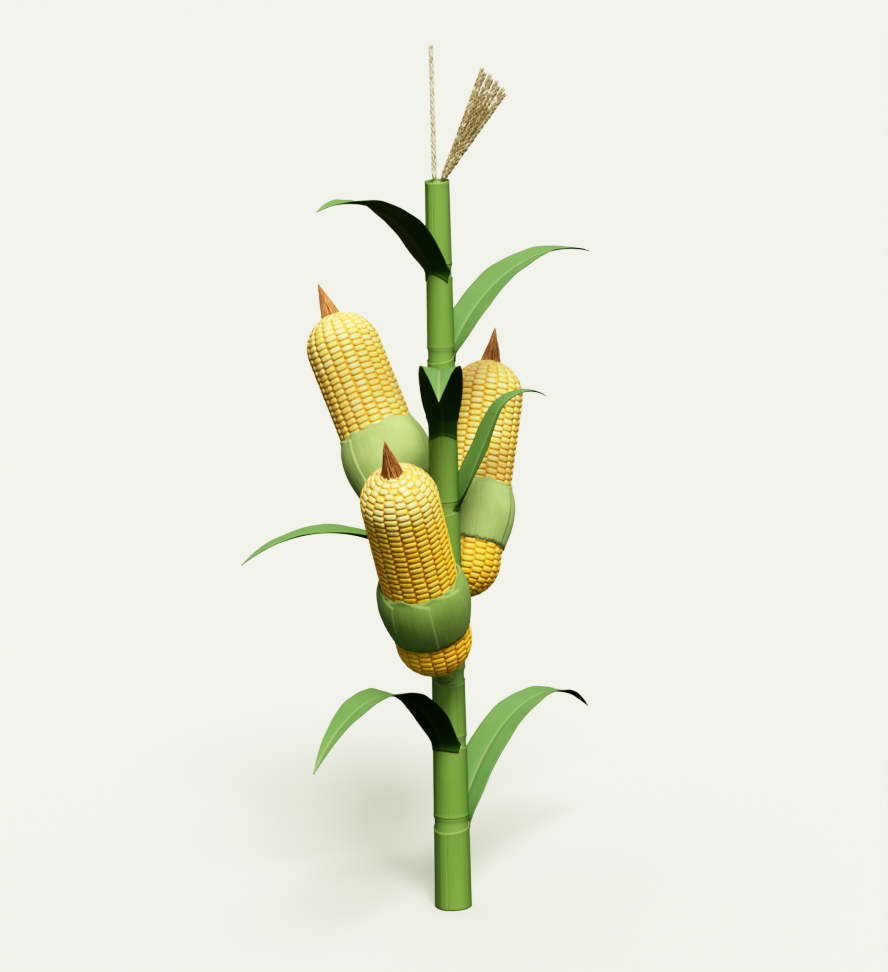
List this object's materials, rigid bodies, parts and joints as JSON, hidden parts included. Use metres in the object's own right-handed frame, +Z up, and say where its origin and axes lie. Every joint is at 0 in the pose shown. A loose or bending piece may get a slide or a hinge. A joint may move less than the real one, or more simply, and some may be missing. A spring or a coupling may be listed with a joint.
{
  "type": "maize plant",
  "caption": "Maize plant rooted in the ground: upright tapered stalk, arching strap leaves, stout ears in short husk collars with silk tufts, and a one-sided tassel.",
  "frame": {"origin": "centre of the flat cut under the stalk, at ground level", "axes": "+Z runs up the stalk, +X to the tassel's leaning branches, and -Y to the side that the front ear leans to"},
  "size_m": [0.5599, 0.9113, 1.4423],
  "materials": {
    "stalk": "smooth, faintly ribbed green stalk with a waxy bloom",
    "leaf": "satin green blade, paler midrib, much darker underside",
    "kernels": "glossy rounded kernels, golden yellow",
    "husk": "matt pale green husk leaves with fine parallel veins",
    "silk": "dry brown silk strands",
    "shank": "matt pale green stem",
    "tassel": "dry straw-coloured spikelets"
  },
  "bodies": {
    "root": {"stalk": "stalk", "leaf_1": "leaf", "leaf_2": "leaf", "leaf_3": "leaf", "leaf_4": "leaf", "leaf_5": "leaf", "leaf_6": "leaf", "leaf_7": "leaf", "leaf_8": "leaf", "ear_left_cob": "kernels", "ear_left_husk": "husk", "ear_left_silk": "silk", "ear_left_shank": "shank", "ear_right_cob": "kernels", "ear_right_husk": "husk", "ear_right_silk": "silk", "ear_right_shank": "shank", "ear_front_cob": "kernels", "ear_front_husk": "husk", "ear_front_silk": "silk", "ear_front_shank": "shank", "tassel_spike": "tassel", "tassel_branches": "tassel"}
  },
  "joints": []
}
